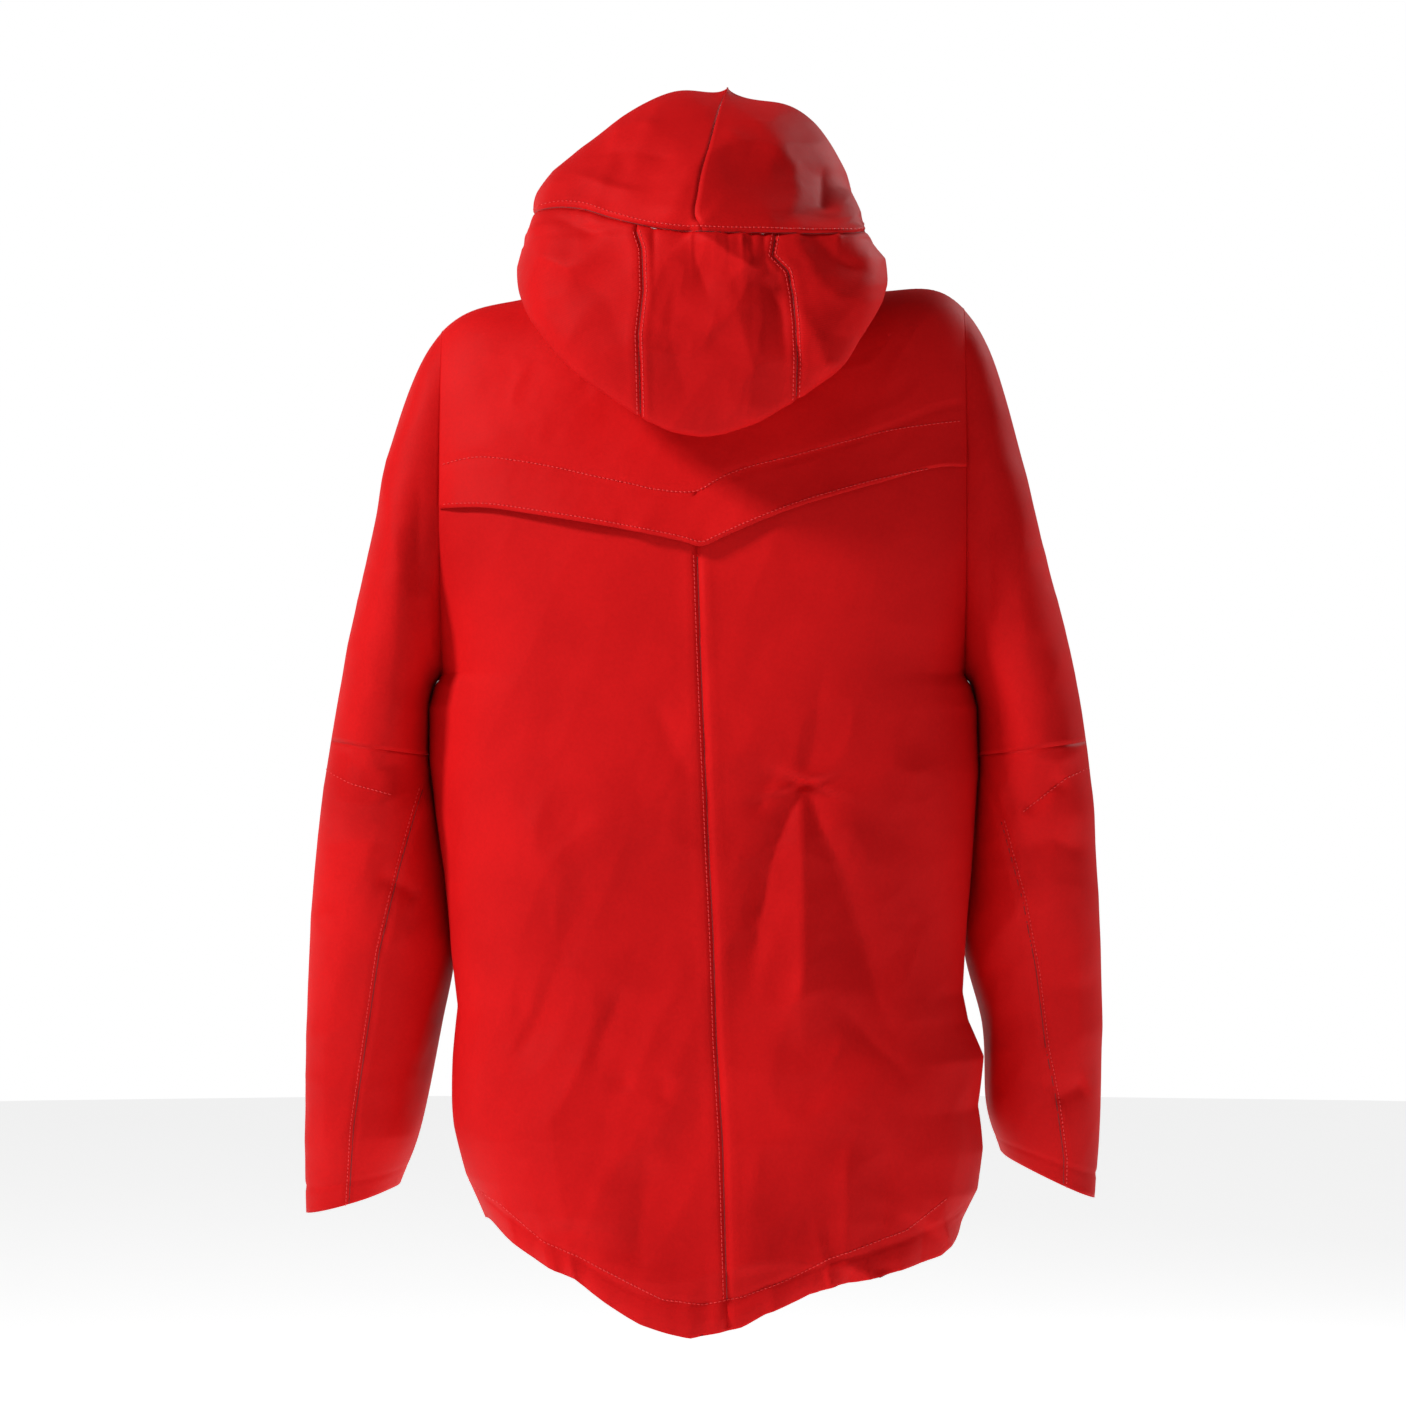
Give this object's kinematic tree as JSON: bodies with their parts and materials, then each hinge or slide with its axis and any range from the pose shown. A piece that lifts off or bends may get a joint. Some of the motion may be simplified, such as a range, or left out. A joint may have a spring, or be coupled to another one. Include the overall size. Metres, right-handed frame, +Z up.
{
  "type": "hardshell jacket",
  "caption": "Hooded hardshell jacket hanging as if worn: V yoke, articulated sleeves, drop-tail hem, full front zip, hand pockets and drawcords.",
  "frame": {"origin": "middle of the flat underside of the hanger loop, inside the back of the neck", "axes": "+Z up, the jacket's front faces -Y, the wearer's left is +X"},
  "size_m": [0.5944, 0.3188, 0.9259],
  "materials": {
    "shell_fabric": "matte fine-weave waterproof laminate",
    "lining_fabric": "dark matte backer",
    "zip_coil": "coated zip tape and coil",
    "slider_metal": "satin cast metal",
    "elastic_cord": "braided elastic cord",
    "loop_tape": "soft loop pile",
    "webbing": "flat woven tape",
    "plastic_trim": "moulded, matte",
    "tab_rubber": "moulded tab, matte"
  },
  "bodies": {
    "shell": {"back_left_panel": "shell_fabric", "front_left_panel": "shell_fabric", "back_right_panel": "shell_fabric", "front_right_panel": "shell_fabric", "back_yoke": "shell_fabric", "collar": "shell_fabric", "hanger_loop": "webbing", "zip_tape_left": "zip_coil", "zip_tape_right": "zip_coil", "zip_box": "plastic_trim", "storm_flap": "lining_fabric", "pocket_zip_left": "zip_coil", "pocket_bag_left": "lining_fabric", "pocket_zip_right": "zip_coil", "pocket_bag_right": "lining_fabric", "hem_facing": "lining_fabric", "hem_drawcord": "elastic_cord", "hem_lock_left": "plastic_trim", "hem_lock_right": "plastic_trim", "hood_crown_left": "shell_fabric", "hood_side_left": "shell_fabric", "hood_crown_right": "shell_fabric", "hood_side_right": "shell_fabric", "hood_centre_back": "shell_fabric", "hood_brim": "shell_fabric", "hood_facing": "lining_fabric", "hood_cord": "elastic_cord", "hood_lock_left": "plastic_trim", "hood_lock_right": "plastic_trim"},
    "main_slider": {"main_slider": "slider_metal"},
    "main_pull": {"main_pull": "plastic_trim"},
    "left_arm": {"upper_sleeve_left": "shell_fabric"},
    "left_forearm": {"forearm_left": "shell_fabric", "cuff_facing_left": "lining_fabric", "cuff_patch_left": "loop_tape"},
    "left_cuff_tab": {"cuff_tab_left": "tab_rubber"},
    "left_pocket_slider": {"pocket_slider_left": "slider_metal"},
    "left_pocket_pull": {"pocket_pull_left": "plastic_trim"},
    "left_hem_button": {"hem_button_left": "plastic_trim"},
    "left_hood_button": {"hood_button_left": "plastic_trim"},
    "right_arm": {"upper_sleeve_right": "shell_fabric"},
    "right_forearm": {"forearm_right": "shell_fabric", "cuff_facing_right": "lining_fabric", "cuff_patch_right": "loop_tape"},
    "right_cuff_tab": {"cuff_tab_right": "tab_rubber"},
    "right_pocket_slider": {"pocket_slider_right": "slider_metal"},
    "right_pocket_pull": {"pocket_pull_right": "plastic_trim"},
    "right_hem_button": {"hem_button_right": "plastic_trim"},
    "right_hood_button": {"hood_button_right": "plastic_trim"}
  },
  "joints": [
    {"name": "main_zip_slide", "type": "slide", "parent": "shell", "child": "main_slider", "axis": [0, -0.0579, -0.9983], "range_m": [0, 0.61]},
    {"name": "main_pull_hinge", "type": "hinge", "parent": "main_slider", "child": "main_pull", "pos_m": [0, -0.14349, -0.00865], "axis": [-1, 0, 0], "range_deg": [0, 120]},
    {"name": "left_shoulder_lift", "type": "hinge", "parent": "shell", "child": "left_arm", "pos_m": [0.1966, -0.046, -0.03], "axis": [0, -1, 0], "range_deg": [0, 60]},
    {"name": "left_elbow_bend", "type": "hinge", "parent": "left_arm", "child": "left_forearm", "pos_m": [0.247, -0.137, -0.365], "axis": [-1, 0, 0], "range_deg": [0, 70]},
    {"name": "left_cuff_tab_hinge", "type": "hinge", "parent": "left_forearm", "child": "left_cuff_tab", "pos_m": [0.23471, -0.1666, -0.64213], "axis": [0.1987, -0.2202, -0.955], "range_deg": [0, 100]},
    {"name": "left_pocket_zip_slide", "type": "slide", "parent": "shell", "child": "left_pocket_slider", "axis": [0.2126, 0.0424, -0.9762], "range_m": [0, 0.125]},
    {"name": "left_pocket_pull_hinge", "type": "hinge", "parent": "left_pocket_slider", "child": "left_pocket_pull", "pos_m": [0.11268, -0.15369, -0.38316], "axis": [-0.8942, -0.3942, -0.2119], "range_deg": [0, 120]},
    {"name": "left_hem_button_press", "type": "slide", "parent": "shell", "child": "left_hem_button", "axis": [0, 0, -1], "range_m": [0, 0.003], "stiffness_N_per_m": 200},
    {"name": "left_hood_button_press", "type": "slide", "parent": "shell", "child": "left_hood_button", "axis": [-1, 0, 0], "range_m": [0, 0.003], "stiffness_N_per_m": 200},
    {"name": "right_shoulder_lift", "type": "hinge", "parent": "shell", "child": "right_arm", "pos_m": [-0.1966, -0.046, -0.03], "axis": [0, 1, 0], "range_deg": [0, 60]},
    {"name": "right_elbow_bend", "type": "hinge", "parent": "right_arm", "child": "right_forearm", "pos_m": [-0.247, -0.137, -0.365], "axis": [-1, 0, 0], "range_deg": [0, 70]},
    {"name": "right_cuff_tab_hinge", "type": "hinge", "parent": "right_forearm", "child": "right_cuff_tab", "pos_m": [-0.23471, -0.1666, -0.64213], "axis": [0.1987, 0.2202, 0.955], "range_deg": [0, 100]},
    {"name": "right_pocket_zip_slide", "type": "slide", "parent": "shell", "child": "right_pocket_slider", "axis": [-0.2126, 0.0424, -0.9762], "range_m": [0, 0.125]},
    {"name": "right_pocket_pull_hinge", "type": "hinge", "parent": "right_pocket_slider", "child": "right_pocket_pull", "pos_m": [-0.11268, -0.15369, -0.38316], "axis": [-0.8942, 0.3942, 0.2119], "range_deg": [0, 120]},
    {"name": "right_hem_button_press", "type": "slide", "parent": "shell", "child": "right_hem_button", "axis": [0, 0, -1], "range_m": [0, 0.003], "stiffness_N_per_m": 200},
    {"name": "right_hood_button_press", "type": "slide", "parent": "shell", "child": "right_hood_button", "axis": [1, 0, 0], "range_m": [0, 0.003], "stiffness_N_per_m": 200}
  ]
}
